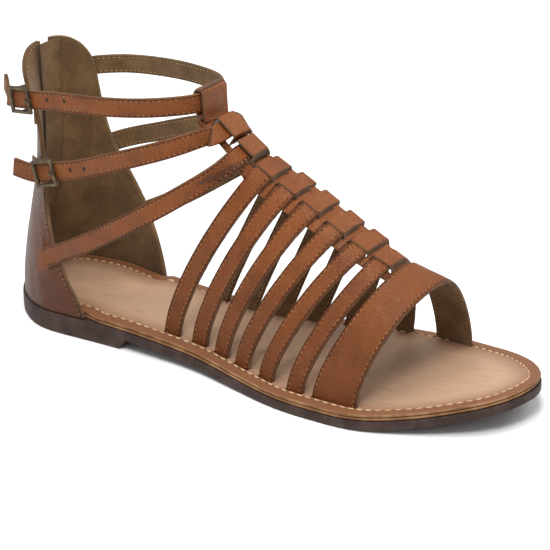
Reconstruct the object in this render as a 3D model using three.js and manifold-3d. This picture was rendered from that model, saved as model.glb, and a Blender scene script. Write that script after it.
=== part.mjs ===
// Gladiator sandal, one right shoe: a flat leather sole, a cage of straps joined by a centre spine,
// a tall closed counter with a back zip, and two buckled ankle straps.
// Millimetres, +X to the toe, +Y to the inner side of the foot, +Z up.
import * as THREE from "three";
import { mergeVertices } from "three/addons/utils/BufferGeometryUtils.js";
import Module from "manifold-3d";

const wasm = await Module();
wasm.setup();

// Driving sizes
const LENGTH = 250;
const BALL_WIDTH = 85.2;
const CLEARANCE = 0.3;

// Sole
const HEEL_HEIGHT = 11.5;
const OUTSOLE_THICKNESS = 3.7;
const MIDSOLE_THICKNESS = 1.1;
const INSOLE_THICKNESS = 1.2;
const OUTSOLE_LIP = 0.7;
const HEEL_REST = 36;
const HEEL_BREAST = 72;
const BREAST_SLANT = 3.5;
const TOE_SPRING = 9.3;
const RIM_LATERAL = 6.8;
const SOLE_STATIONS = 40;

// Leather
const STRAP_WIDTH = 8;
const STRAP_THICKNESS = 1.6;
const COUNTER_WALL = 2;
const BAND_STEPS = 3;
const STRAP_STEPS = 7;
const SLOT_DEPTH = 2;

// Spine of the cage
const SPINE_HEIGHT = 107;
const SPINE_WIDTH = 19.6;
const SPINE_THICKNESS = 1.4;
const SPINE_TUCK = 5;
const BRIDGE_WIDTH = 9.8;
const SLIT_WIDTH = 0.8;
const SLIT_PLAY = 0.3;
const RAMP = 1.1;
const SEAM = 0.4;
const CROWN = 0.7;
const LATERAL_SWEEP = 1.4;
const MEDIAL_SWEEP = 1.1;
const LOOP_WIDTH = 15.6;
const LOOP_HEIGHT = 105.6;
const LOOP_PLACE = 100.6;
const LOOP_FOLD = 1.2;

// Counter
const COUNTER_HEIGHT = 114;
const COUNTER_STEPS_UP = 12;
const COUNTER_STEPS_ROUND = 16;
const CORNER_DROP = 14;
const ROUND_START = 0.3;
const FLARE_BEND = 1.5;
const FLARE_OUT = 0.3;

// Zip
const ZIP_SLOT = 5;
const ZIP_SPREAD = 0.6;
const ZIP_BOTTOM = 24;
const ZIP_TOP = 106;
const ZIP_TAPE_WIDTH = 13;
const ZIP_TAPE = 0.8;
const CHAIN_WIDTH = 3.4;
const CHAIN_PROUD = 0.2;
const ZIP_NOTCH = 10;
const SLIDER_PLACE = 96;
const SLIDER_LENGTH = 9;
const SLIDER_WIDTH = 6.4;
const SLIDER_PLATE = 1.2;
const CHEEK = 0.9;
const CHEEK_LENGTH = 2.4;
const CHEEK_HEIGHT = 3.8;
const PIN = 1.4;
const PIN_UP = 1;
const PIN_OUT = 3.5;
const PULL_LENGTH = 22;
const PULL_NECK = 6;
const PULL_WIDTH = 5;
const PULL_WIDTH_TOP = 3;
const PULL_THICKNESS = 1.4;

// Buckles
const WIRE = 1.4;
const ROLLER = 1.5;
const FRAME_LENGTH = 12.4;
const FRAME_WIDTH = 11.4;
const PRONG = 1;
const PRONG_HOLE = 2.6;
const HOLE_PLACE = 3;
const STRAIGHT_AT_BUCKLE = [-9.5, -5, 0, 5, 8.2];
const STUB_THICKNESS = 0.9;
const STUB_WIDTH = 6.4;
const STUB_FALL = 4;

// Heel, waist, ball and toe: how far the top of the insole and the width go, station by station.
// along is a share of LENGTH, lateral and medial are shares of BALL_WIDTH.
const OUTLINE = [
  { along: 0.0, lateral: 0.035, medial: 0.035 },
  { along: 0.02, lateral: -0.119, medial: 0.194 },
  { along: 0.06, lateral: -0.262, medial: 0.280 },
  { along: 0.14, lateral: -0.373, medial: 0.312 },
  { along: 0.28, lateral: -0.360, medial: 0.251 },
  { along: 0.42, lateral: -0.368, medial: 0.249 },
  { along: 0.55, lateral: -0.445, medial: 0.349 },
  { along: 0.66, lateral: -0.506, medial: 0.454 },
  { along: 0.76, lateral: -0.506, medial: 0.493 },
  { along: 0.86, lateral: -0.405, medial: 0.442 },
  { along: 0.93, lateral: -0.287, medial: 0.341 },
  { along: 0.975, lateral: -0.176, medial: 0.225 },
  { along: 1.0, lateral: 0.063, medial: 0.063 },
];

// drop is the share of the heel's height lost along the waist, spring the share of TOE_SPRING.
const SOLE_RISE = [
  { along: 0.0, drop: 0, spring: 0 },
  { along: 0.24, drop: 0, spring: 0 },
  { along: 0.46, drop: 0.53, spring: 0 },
  { along: 0.64, drop: 1, spring: 0 },
  { along: 0.74, drop: 1, spring: 0 },
  { along: 0.82, drop: 1, spring: 0.13 },
  { along: 1.0, drop: 1, spring: 1 },
];

// Ridge of the instep from the ankle loop down to the toe band. spine is a share of LENGTH, height of
// SPINE_HEIGHT, side of BALL_WIDTH; lateral and medial are how far the top stays flat on each side.
const RIDGE = [
  { spine: 0.398, height: 0.944, side: 0.008, lateral: 8, medial: 8 },
  { spine: 0.441, height: 0.886, side: -0.006, lateral: 9, medial: 8 },
  { spine: 0.476, height: 0.810, side: 0.002, lateral: 9, medial: 8 },
  { spine: 0.514, height: 0.754, side: 0.018, lateral: 5, medial: 9.5 },
  { spine: 0.556, height: 0.703, side: 0.025, lateral: 5, medial: 11 },
  { spine: 0.600, height: 0.651, side: 0.029, lateral: 5, medial: 11 },
  { spine: 0.646, height: 0.591, side: 0.033, lateral: 5, medial: 11 },
  { spine: 0.690, height: 0.538, side: 0.037, lateral: 5, medial: 11 },
  { spine: 0.731, height: 0.496, side: 0.041, lateral: 5.5, medial: 7.5 },
  { spine: 0.755, height: 0.474, side: 0.045, lateral: 5.8, medial: 7 },
  { spine: 0.815, height: 0.418, side: 0.055, lateral: 5.8, medial: 9.5 },
  { spine: 0.835, height: 0.400, side: 0.058, lateral: 5.8, medial: 9.5 },
];

// Rows of the cage: where each crosses the spine, where its feet go through the insole (shares of
// LENGTH), how far the medial foot is from the insole's edge and how full each side is: 1 is a
// straight line and 2 an ellipse.
const CAGE = [
  {
    name: "strap_1", spine: 0.514, lateral: 0.380, medial: 0.364,
    rim: 5.4, fullLateral: 1.50, fullMedial: 1.92,
  },
  {
    name: "strap_2", spine: 0.556, lateral: 0.437, medial: 0.422,
    rim: 5.4, fullLateral: 1.49, fullMedial: 1.80,
  },
  {
    name: "strap_3", spine: 0.600, lateral: 0.488, medial: 0.480,
    rim: 5.4, fullLateral: 1.47, fullMedial: 1.69,
  },
  {
    name: "strap_4", spine: 0.646, lateral: 0.537, medial: 0.534,
    rim: 5.4, fullLateral: 1.46, fullMedial: 1.57,
  },
  {
    name: "strap_5", spine: 0.690, lateral: 0.593, medial: 0.596,
    rim: 4.6, fullLateral: 1.44, fullMedial: 1.46,
  },
  {
    name: "strap_6", spine: 0.731, lateral: 0.656, medial: 0.676,
    rim: 2.9, fullLateral: 1.43, fullMedial: 1.36,
  },
  {
    name: "band_back", spine: 0.755, lateral: 0.690, medial: 0.734,
    rim: 2.7, fullLateral: 1.50, fullMedial: 1.32,
  },
  {
    name: "band_front", spine: 0.815, lateral: 0.772, medial: 0.806,
    rim: 4.4, fullLateral: 1.70, fullMedial: 1.52,
  },
  {
    name: "beyond", spine: 0.835, lateral: 0.799, medial: 0.830,
    rim: 4.4, fullLateral: 1.76, fullMedial: 1.58,
  },
];
const SIDE_STRAPS = CAGE.filter((row) => row.name.startsWith("strap"));
const crossingOf = (name) => CAGE.find((row) => row.name === name).spine * LENGTH;
const BAND_BACK = crossingOf("band_back");
const BAND_FRONT = crossingOf("band_front");

// Counter, by height: back is how far its back has moved forward (share of LENGTH), side how far its
// middle has moved inward (share of BALL_WIDTH), narrow how much it has narrowed, lateral and medial
// where its two front edges stand and flare how far the lateral edge is bent back (shares of LENGTH).
const COUNTER = [
  { height: 0.0, back: 0, side: 0, narrow: 1, lateral: 0.216, medial: 0.232, flare: 0 },
  { height: 0.04, back: 0, side: 0, narrow: 1, lateral: 0.210, medial: 0.230, flare: 0 },
  { height: 0.12, back: 0.004, side: 0, narrow: 0.99, lateral: 0.188, medial: 0.222, flare: 0 },
  { height: 0.26, back: 0.013, side: 0.006, narrow: 0.975, lateral: 0.158, medial: 0.194, flare: 0 },
  { height: 0.40, back: 0.024, side: 0.014, narrow: 0.94, lateral: 0.132, medial: 0.158, flare: 0 },
  { height: 0.55, back: 0.032, side: 0.022, narrow: 0.89, lateral: 0.110, medial: 0.120, flare: 0 },
  { height: 0.70, back: 0.036, side: 0.022, narrow: 0.87, lateral: 0.094, medial: 0.106, flare: 0 },
  { height: 0.85, back: 0.038, side: 0.018, narrow: 0.87, lateral: 0.083, medial: 0.098, flare: 0.016 },
  { height: 1.0, back: 0.040, side: 0.012, narrow: 0.87, lateral: 0.088, medial: 0.092, flare: 0.036 },
];

// Materials
const LEATHER = { color: 0x9c5429, roughness: 0.5, metalness: 0 };
const PALE = { color: 0xd9b48f, roughness: 0.6, metalness: 0 };
const STRIP = { color: 0xb98553, roughness: 0.6, metalness: 0 };
const RUBBER = { color: 0x453a37, roughness: 0.75, metalness: 0 };
const BRASS = { color: 0x6b5a3c, roughness: 0.4, metalness: 0.9 };
const TAPE = { color: 0x4a2f20, roughness: 0.85, metalness: 0 };

const V = (x, y, z) => new THREE.Vector3(x, y, z);
const lerp = THREE.MathUtils.lerp;

// Smooth value of one column of a table at a place, without overshoot between rows.
function column(table, key, value, name) {
  const last = table.length - 1;
  const at = THREE.MathUtils.clamp(value, table[0][key], table[last][key]);
  let i = 0;
  while (i < last - 1 && at > table[i + 1][key]) i += 1;
  const rise = (k) => (table[k + 1][name] - table[k][name]) / (table[k + 1][key] - table[k][key]);
  const slope = (k) => {
    if (k === 0) return rise(0);
    if (k === last) return rise(last - 1);
    const before = rise(k - 1);
    const after = rise(k);
    return before * after <= 0 ? 0 : (2 * before * after) / (before + after);
  };
  const span = table[i + 1][key] - table[i][key];
  const t = (at - table[i][key]) / span;
  const start = table[i][name];
  const end = table[i + 1][name];
  return (
    start * (1 + 2 * t) * (1 - t) ** 2 +
    slope(i) * span * t * (1 - t) ** 2 +
    end * t * t * (3 - 2 * t) -
    slope(i + 1) * span * t * t * (1 - t)
  );
}

// Closed solid between two grids of points of the same size, with cells left open where kept says no.
function between(upper, lower, kept = () => true) {
  const rows = upper.length;
  const columns = upper[0].length;
  const positions = [];
  for (const grid of [upper, lower]) {
    for (const row of grid) for (const p of row) positions.push(p.x, p.y, p.z);
  }
  const top = (i, j) => i * columns + j;
  const under = (i, j) => rows * columns + top(i, j);
  const whole = (i, j) => i >= 0 && j >= 0 && i < rows - 1 && j < columns - 1 && kept(i, j);
  const faces = [];
  const quad = (a, b, c, d) => faces.push(a, b, c, a, c, d);
  for (let i = 0; i < rows - 1; i += 1) {
    for (let j = 0; j < columns - 1; j += 1) {
      if (!whole(i, j)) continue;
      quad(top(i, j), top(i + 1, j), top(i + 1, j + 1), top(i, j + 1));
      quad(under(i, j), under(i, j + 1), under(i + 1, j + 1), under(i + 1, j));
      if (!whole(i, j - 1)) quad(top(i, j), under(i, j), under(i + 1, j), top(i + 1, j));
      if (!whole(i, j + 1)) quad(top(i + 1, j + 1), under(i + 1, j + 1), under(i, j + 1), top(i, j + 1));
      if (!whole(i - 1, j)) quad(top(i, j + 1), under(i, j + 1), under(i, j), top(i, j));
      if (!whole(i + 1, j)) quad(top(i + 1, j), under(i + 1, j), under(i + 1, j + 1), top(i + 1, j + 1));
    }
  }
  const used = new Map();
  const usedPositions = [];
  const index = faces.map((k) => {
    if (!used.has(k)) {
      used.set(k, usedPositions.length / 3);
      usedPositions.push(...positions.slice(3 * k, 3 * k + 3));
    }
    return used.get(k);
  });
  const geometry = new THREE.BufferGeometry();
  geometry.setAttribute("position", new THREE.Float32BufferAttribute(usedPositions, 3));
  geometry.setIndex(index);
  return turnedOutward(geometry);
}

function volume(geometry) {
  const p = geometry.attributes.position;
  const index = geometry.index;
  const corner = (k) => new THREE.Vector3().fromBufferAttribute(p, index.getX(k));
  let sum = 0;
  for (let k = 0; k < index.count; k += 3) sum += corner(k).dot(corner(k + 1).cross(corner(k + 2)));
  return sum / 6;
}

function turnedOutward(geometry) {
  if (volume(geometry) > 0) return geometry;
  const list = Array.from(geometry.index.array);
  for (let k = 0; k < list.length; k += 3) [list[k + 1], list[k + 2]] = [list[k + 2], list[k + 1]];
  geometry.setIndex(list);
  return geometry;
}

function solid(geometry) {
  const plain = geometry.clone();
  plain.deleteAttribute("normal");
  plain.deleteAttribute("uv");
  const merged = mergeVertices(plain, 1e-4);
  return new wasm.Manifold(
    new wasm.Mesh({
      numProp: 3,
      vertProperties: new Float32Array(merged.attributes.position.array),
      triVerts: new Uint32Array(merged.index.array),
    }),
  );
}

function joined(solids) {
  return solids.reduce((sum, next) => sum.add(next));
}

function drawn(manifold) {
  const mesh = manifold.getMesh();
  const geometry = new THREE.BufferGeometry();
  geometry.setAttribute("position", new THREE.BufferAttribute(mesh.vertProperties, 3));
  geometry.setIndex(new THREE.BufferAttribute(mesh.triVerts, 1));
  return geometry;
}

// Sole
function outlineSide(x, side) {
  const share = THREE.MathUtils.clamp(x / LENGTH, 0, 1);
  const angle = Math.acos(1 - 2 * share);
  return column(OUTLINE_BY_ANGLE, "angle", angle, side) * BALL_WIDTH;
}

const OUTLINE_BY_ANGLE = OUTLINE.map((row) => ({ ...row, angle: Math.acos(1 - 2 * row.along) }));

const STACK = OUTSOLE_THICKNESS + MIDSOLE_THICKNESS + INSOLE_THICKNESS + 2 * CLEARANCE;

function insoleTop(x) {
  const drop = column(SOLE_RISE, "along", x / LENGTH, "drop");
  const spring = column(SOLE_RISE, "along", x / LENGTH, "spring");
  return lerp(HEEL_HEIGHT, STACK, drop) + TOE_SPRING * spring;
}

const insoleUnder = (x) => insoleTop(x) - INSOLE_THICKNESS;
const midsoleTop = (x) => insoleUnder(x) - CLEARANCE;
const midsoleUnder = (x) => midsoleTop(x) - MIDSOLE_THICKNESS;
const outsoleTop = (x) => midsoleUnder(x) - CLEARANCE;

function outsoleUnder(x) {
  const sole = insoleTop(x) - STACK;
  if (x <= HEEL_BREAST) return 0;
  return sole * THREE.MathUtils.clamp((x - HEEL_BREAST) / BREAST_SLANT, 0, 1);
}

// Outline point moved inward by inset, square to the outline.
function outlinePoint(x, side, inset) {
  const step = 0.05;
  const low = Math.max(x - step, 0);
  const high = Math.min(x + step, LENGTH);
  const slope = V(high - low, outlineSide(high, side) - outlineSide(low, side), 0).normalize();
  if (x === 0) return V(inset, outlineSide(0, side), 0);
  if (x === LENGTH) return V(LENGTH - inset, outlineSide(LENGTH, side), 0);
  const inward = side === "medial" ? V(slope.y, -slope.x, 0) : V(-slope.y, slope.x, 0);
  return V(x, outlineSide(x, side), 0).addScaledVector(inward, inset);
}

// Places where the sole's outline or underside has a corner.
const SEAT_END = 0.8;
const SEAT_RAMP = 3;
const counterFoot = (side) => COUNTER[0][side] * LENGTH;
const STEPS_AT = [
  counterFoot("lateral") + SEAT_END,
  counterFoot("medial") + SEAT_END,
  counterFoot("medial") + SEAT_END + SEAT_RAMP,
  HEEL_BREAST,
  HEEL_BREAST + BREAST_SLANT,
];

const SOLE_X = Array.from({ length: SOLE_STATIONS + 1 }, (_, i) => (
  (LENGTH * (1 - Math.cos((Math.PI * i) / SOLE_STATIONS))) / 2
))
  .filter((x) => STEPS_AT.every((step) => Math.abs(x - step) > 2))
  .concat(STEPS_AT)
  .sort((a, b) => a - b);

function soleLayer(topOf, underOf, insetOf) {
  const level = (heightOf) => SOLE_X.slice(1, -1).map((x) => ["lateral", "medial"].map((side) => {
    const p = outlinePoint(x, side, insetOf(x, side));
    return p.setZ(heightOf(p.x));
  }));
  const tips = (heightOf) => [0, LENGTH].map((x) => {
    const p = outlinePoint(x, "medial", insetOf(x, "medial"));
    return p.setZ(heightOf(p.x));
  });
  const upper = level(topOf);
  const lower = level(underOf);
  const positions = [];
  const put = (p) => positions.push(p.x, p.y, p.z) / 3 - 1;
  const number = (rows) => rows.map((row) => row.map(put));
  const top = number(upper);
  const under = number(lower);
  const [topHeel, topToe] = tips(topOf).map(put);
  const [underHeel, underToe] = tips(underOf).map(put);
  const faces = [];
  const quad = (a, b, c, d) => faces.push(a, b, c, a, c, d);
  const last = top.length - 1;
  for (let i = 0; i < last; i += 1) {
    quad(top[i][0], top[i + 1][0], top[i + 1][1], top[i][1]);
    quad(under[i][1], under[i + 1][1], under[i + 1][0], under[i][0]);
    quad(under[i][0], under[i + 1][0], top[i + 1][0], top[i][0]);
    quad(top[i][1], top[i + 1][1], under[i + 1][1], under[i][1]);
  }
  faces.push(topHeel, top[0][0], top[0][1], underHeel, under[0][1], under[0][0]);
  faces.push(topToe, top[last][1], top[last][0], underToe, under[last][0], under[last][1]);
  quad(underHeel, under[0][0], top[0][0], topHeel);
  quad(topHeel, top[0][1], under[0][1], underHeel);
  quad(topToe, top[last][0], under[last][0], underToe);
  quad(underToe, under[last][1], top[last][1], topToe);
  const geometry = new THREE.BufferGeometry();
  geometry.setAttribute("position", new THREE.Float32BufferAttribute(positions, 3));
  geometry.setIndex(faces);
  return turnedOutward(geometry);
}

// Under the counter the light layers are cut back, so that its edge stands on the outsole.
function layerInset(x, side) {
  const seat = OUTSOLE_LIP + COUNTER_WALL + 3 * CLEARANCE;
  const past = (x - counterFoot(side) - SEAT_END) / SEAT_RAMP;
  return lerp(seat, OUTSOLE_LIP, THREE.MathUtils.clamp(past, 0, 1));
}

// Surface of the foot above the insole: a flat crown along the ridge and two falling sides.
function ridge(x) {
  const share = x / LENGTH;
  return V(
    x,
    column(RIDGE, "spine", share, "side") * BALL_WIDTH,
    column(RIDGE, "spine", share, "height") * SPINE_HEIGHT,
  );
}

function footSide(x, side, share) {
  const half = STRAP_THICKNESS / 2;
  return side === "medial"
    ? outlineSide(x, side) - column(CAGE, "spine", share, "rim") - half
    : outlineSide(x, side) + RIM_LATERAL + half;
}

// One side of the row that crosses the spine at a place.
function sideOf(crossing, side) {
  const share = crossing / LENGTH;
  const sign = side === "medial" ? 1 : -1;
  const top = ridge(crossing);
  const foot = column(CAGE, "spine", share, side) * LENGTH;
  const flat = column(RIDGE, "spine", share, side);
  const full = column(CAGE, "spine", share, side === "medial" ? "fullMedial" : "fullLateral");
  const sweep = side === "medial" ? MEDIAL_SWEEP : LATERAL_SWEEP;
  const shoulder = top.y + sign * flat;
  const out = footSide(foot, side, share);
  return { sign, top, foot, flat, full, sweep, shoulder, out, base: insoleTop(foot) };
}

// rise goes from 0 at the insole to 1 at the shoulder.
function section(crossing, side, rise) {
  const s = sideOf(crossing, side);
  const angle = (rise * Math.PI) / 2;
  const up = rise === 0 ? 0 : Math.sin(angle) ** (2 / s.full);
  const across = rise === 1 ? 0 : Math.cos(angle) ** (2 / s.full);
  return V(
    lerp(s.foot, crossing, up ** s.sweep),
    lerp(s.shoulder, s.out, across),
    lerp(s.base, s.top.z - CROWN, up),
  );
}

// Point of a row at a distance across from the ridge.
function onRow(crossing, across) {
  const s = sideOf(crossing, across < 0 ? "lateral" : "medial");
  const away = Math.abs(across);
  if (away <= s.flat) return V(crossing, s.top.y + across, s.top.z - CROWN * (away / s.flat) ** 2);
  const share = Math.min((away - s.flat) / Math.abs(s.out - s.shoulder), 1);
  const up = (1 - share ** s.full) ** (1 / s.full);
  return V(
    lerp(s.foot, crossing, up ** s.sweep),
    s.top.y + across,
    lerp(s.base, s.top.z - CROWN, up),
  );
}

// The same surface straight across from a place on the ridge.
function nearRidge(x, across) {
  let crossing = x;
  for (let k = 0; k < 3; k += 1) crossing += x - onRow(crossing, across).x;
  return onRow(crossing, across);
}

function ridgeNormal(x, across) {
  const step = 0.5;
  const along = nearRidge(x + step, across).sub(nearRidge(x - step, across));
  const over = nearRidge(x, across + step).sub(nearRidge(x, across - step));
  return along.cross(over).normalize();
}

// Width of a strap at a place: the direction up and back along the cage.
function backAlong(pointOf, crossing, step = 1) {
  return pointOf(crossing - step).sub(pointOf(crossing + step)).normalize();
}

// Flat strip along a path: each stop has a centre and the direction of its width.
function ribbon(stops, width, thickness) {
  const outer = [];
  const inner = [];
  stops.forEach((stop, i) => {
    const before = stops[Math.max(i - 1, 0)].centre;
    const after = stops[Math.min(i + 1, stops.length - 1)].centre;
    const tangent = after.clone().sub(before).normalize();
    const wide = stop.wide.clone().addScaledVector(tangent, -stop.wide.dot(tangent)).normalize();
    const normal = tangent.clone().cross(wide);
    const side = (stop.width ?? width) / 2;
    const corner = (w, n) => stop.centre.clone().addScaledVector(wide, w).addScaledVector(normal, n);
    outer.push([corner(-side, thickness / 2), corner(side, thickness / 2)]);
    inner.push([corner(-side, -thickness / 2), corner(side, -thickness / 2)]);
  });
  return between(outer, inner);
}

// Stops at even steps along a smooth curve through the named points.
function smoothStops(points, steps) {
  const centres = new THREE.CatmullRomCurve3(points.map((p) => p.centre), false, "centripetal");
  const wides = new THREE.CatmullRomCurve3(points.map((p) => p.wide), false, "catmullrom", 0.5);
  return Array.from({ length: steps + 1 }, (_, i) => {
    const t = i / steps;
    return { centre: centres.getPoint(t), wide: wides.getPoint(t).normalize() };
  });
}

function footDepth(x) {
  return insoleTop(x) - outsoleTop(x) - 2 * CLEARANCE;
}

// Centre line of a side strap from the lateral foot over the ridge to the medial foot.
function sideStrapPath(strap) {
  const crossing = strap.spine * LENGTH;
  const stop = (pointOf) => ({ centre: pointOf(crossing), wide: backAlong(pointOf, crossing) });
  const rises = spread(0, 1, STRAP_STEPS);
  const half = (side) => rises.map((rise) => stop((x) => section(x, side, rise)));
  const path = [...half("lateral"), stop((x) => onRow(x, 0)), ...half("medial").reverse()];
  const under = ({ centre, wide }) => ({ centre: centre.clone().setZ(centre.z - footDepth(centre.x)), wide });
  return [under(path[0]), ...path, under(path[path.length - 1])];
}

// A strap, or with room the slot that it leaves in insole and midsole.
function strapAlong(path, room) {
  const deeper = ({ centre, wide }) => ({ centre: centre.clone().setZ(centre.z - SLOT_DEPTH), wide });
  const stops = room ? [deeper(path[0]), ...path, deeper(path[path.length - 1])] : path;
  return solid(ribbon(stops, STRAP_WIDTH + 2 * room, STRAP_THICKNESS + 2 * room));
}

// Toe band, or with room its slot
function toeBand(room) {
  const rises = spread(0, 1, STRAP_STEPS + 2);
  const places = spread(BAND_BACK - room, BAND_FRONT + room, BAND_STEPS);
  const row = (pointOf) => places.map(pointOf);
  const half = (side) => rises.map((rise) => row((x) => section(x, side, rise)));
  const middle = [...half("lateral"), row((x) => onRow(x, 0)), ...half("medial").reverse()];
  return solid(shellAround(middle, STRAP_THICKNESS + 2 * room, room ? SLOT_DEPTH : 0));
}

// Solid of one thickness around a grid of points, with its feet carried down into the sole.
function shellAround(grid, thickness, deeper) {
  const rows = grid.length;
  const columns = grid[0].length;
  const normals = grid.map((row, i) => row.map((_, j) => {
    const along = grid[Math.min(i + 1, rows - 1)][j].clone().sub(grid[Math.max(i - 1, 0)][j]);
    const over = grid[i][Math.min(j + 1, columns - 1)].clone().sub(grid[i][Math.max(j - 1, 0)]);
    return along.cross(over).normalize();
  }));
  for (const end of [0, rows - 1]) normals[end].forEach((n) => n.setZ(0).normalize());
  const lifted = (distance) => {
    const face = grid.map((row, i) => row.map((p, j) => (
      p.clone().addScaledVector(normals[i][j], distance)
    )));
    const under = (row) => row.map((p) => p.clone().setZ(p.z - footDepth(p.x) - deeper));
    return [under(face[0]), ...face, under(face[rows - 1])];
  };
  return between(lifted(thickness / 2), lifted(-thickness / 2));
}

// Spine: one flat strip under the straps, whose middle is raised over each strap as a bridge.
const ANKLE_PASSAGE = { at: 0.441, free: true };
const COUNTER_PASSAGE = { at: 0.476, free: true };
const PASSAGES = [
  ANKLE_PASSAGE,
  COUNTER_PASSAGE,
  ...SIDE_STRAPS.map((strap) => ({ at: strap.spine, free: false })),
];
const SPINE_LEVEL = SEAM - (STRAP_THICKNESS + SPINE_THICKNESS) / 2;
const FREE_LIFT = SPINE_LEVEL + (STRAP_THICKNESS + SPINE_THICKNESS) / 2 + CLEARANCE;
const SPINE_START = 0.402 * LENGTH;
const SPINE_END = BAND_BACK + SPINE_TUCK;

function slopeLength(x) {
  const step = 0.5;
  return ridge(x + step).distanceTo(ridge(x - step)) / (2 * step);
}

// Rows of the strip: two at the ends and four at each passage.
function spineRows() {
  const rows = [{ x: SPINE_START, lift: SPINE_LEVEL, open: false }];
  PASSAGES.forEach((passage, i) => {
    const x = passage.at * LENGTH;
    const half = STRAP_WIDTH / 2 + (passage.free ? 2 : 1) * SLIT_PLAY;
    const top = passage.free ? 2 * FREE_LIFT - SPINE_LEVEL + 3 * CLEARANCE : -SPINE_LEVEL;
    const place = (away) => x + away / slopeLength(x);
    const neighbour = (step) => {
      const next = PASSAGES[i + step];
      if (!next) return RAMP;
      const gap = Math.abs(next.at * LENGTH - x) * slopeLength(x) - STRAP_WIDTH - 3 * SLIT_PLAY;
      return Math.min(RAMP, gap / 2 - CLEARANCE);
    };
    rows.push(
      { x: place(-half - neighbour(-1)), lift: SPINE_LEVEL, open: true },
      { x: place(-half), lift: top, open: true },
      { x, lift: top, open: true },
      { x: place(half), lift: top, open: true },
      { x: place(half + neighbour(1)), lift: SPINE_LEVEL, open: false },
    );
  });
  rows.push({ x: SPINE_END, lift: SPINE_LEVEL, open: false });
  return rows;
}

function spread(low, high, count) {
  return Array.from({ length: count + 1 }, (_, i) => lerp(low, high, i / count));
}

function spine() {
  const bridge = BRIDGE_WIDTH / 2;
  const edge = SPINE_WIDTH / 2;
  const margin = bridge + SLIT_WIDTH;
  const across = [-edge, -margin, -bridge, 0, bridge, margin, (margin + edge) / 2, edge];
  const rows = spineRows();
  const face = (offset) => rows.map((row) => across.map((place) => {
    const raised = Math.abs(place) <= bridge ? row.lift : SPINE_LEVEL;
    return nearRidge(row.x, place).addScaledVector(ridgeNormal(row.x, place), raised + offset);
  }));
  const slit = (i, j) => rows[i].open && (j === 1 || j === 4);
  const half = SPINE_THICKNESS / 2;
  return solid(between(face(half), face(-half), (i, j) => !slit(i, j)));
}

// Loop at the spine's top, folded round the upper ankle strap.
function loop() {
  const deep = STRAP_THICKNESS / 2 + 2 * CLEARANCE + SPINE_THICKNESS / 2;
  const tall = STRAP_WIDTH / 2 + 2 * CLEARANCE + SPINE_THICKNESS / 2;
  const side = ridge(LOOP_PLACE).y;
  const at = (x, z) => V(LOOP_PLACE + x, side, LOOP_HEIGHT + z);
  const seam = (x) => nearRidge(x, 0).addScaledVector(ridgeNormal(x, 0), SPINE_LEVEL + SEAM);
  const route = [
    seam(LOOP_PLACE + deep + 2 * LOOP_FOLD),
    seam(LOOP_PLACE + deep + LOOP_FOLD / 2),
    at(deep, LOOP_FOLD - tall),
    at(deep, tall - LOOP_FOLD),
    at(deep - LOOP_FOLD, tall),
    at(LOOP_FOLD - deep, tall),
    at(-deep, tall - LOOP_FOLD),
    at(-deep, LOOP_FOLD - tall),
    at(LOOP_FOLD - deep, -tall),
    seam(LOOP_PLACE + deep + LOOP_FOLD / 2),
  ];
  return solid(ribbon(route.map((centre) => ({ centre, wide: V(0, 1, 0) })), LOOP_WIDTH, SPINE_THICKNESS));
}

// Counter
const COUNTER_FOOT = outsoleTop(0) + CLEARANCE;
const HEEL_MIDDLE = outlineSide(0, "medial");

// turn goes from -1 at the lateral front edge over 0 at the back to 1 at the medial front edge.
function counterPoint(height, turn, outward) {
  const share = (height - COUNTER_FOOT) / (COUNTER_HEIGHT - COUNTER_FOOT);
  const value = (name) => column(COUNTER, "height", share, name);
  const side = turn < 0 ? "lateral" : "medial";
  const back = value("back") * LENGTH;
  const depth = value(side) * LENGTH - back;
  const x = depth * (1 - Math.cos((Math.abs(turn) * Math.PI) / 2));
  const inset = OUTSOLE_LIP + COUNTER_WALL / 2 - outward;
  const p = outlinePoint(x, side, inset);
  const flare = turn < 0 ? value("flare") * LENGTH * Math.abs(turn) ** FLARE_BEND : 0;
  const middle = HEEL_MIDDLE + value("side") * BALL_WIDTH;
  return V(
    p.x + back - flare,
    middle + (p.y - HEEL_MIDDLE) * value("narrow") - FLARE_OUT * flare,
    height,
  );
}

function counterTop(turn) {
  const round = THREE.MathUtils.clamp((Math.abs(turn) - ROUND_START) / (1 - ROUND_START), 0, 0.99);
  return COUNTER_HEIGHT - CORNER_DROP * (1 - Math.sqrt(1 - round ** 2));
}

function counterGrid(outward) {
  return spread(0, 1, COUNTER_STEPS_UP).map((rise) => (
    spread(-1, 1, COUNTER_STEPS_ROUND).map((turn) => (
      counterPoint(lerp(COUNTER_FOOT, counterTop(turn), rise), turn, outward)
    ))
  ));
}

// Turn at which the counter's back is a given distance to the side of its middle.
function turnAt(height, across) {
  const side = Math.sign(across);
  let low = 0;
  let high = 1;
  for (let k = 0; k < 20; k += 1) {
    const turn = (low + high) / 2;
    const place = counterPoint(height, side * turn, 0).y - counterPoint(height, 0, 0).y;
    if (Math.abs(place) < Math.abs(across)) low = turn;
    else high = turn;
  }
  return side * low;
}

// Solid that follows the counter's back: widths and depths are given at each height.
function backSolid(heights, halfWidth, outside, inside) {
  const face = (outward) => heights.map((height) => (
    [-1, -0.4, 0.4, 1].map((share) => {
      const turn = turnAt(height, share * halfWidth(height));
      return counterPoint(height, turn, outward);
    })
  ));
  return solid(between(face(outside), face(inside)));
}

function zipHalfWidth(height) {
  const open = THREE.MathUtils.clamp((height - COUNTER_HEIGHT + ZIP_NOTCH) / ZIP_NOTCH, 0, 1);
  return ZIP_SLOT / 2 + ZIP_SPREAD * open;
}

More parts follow.
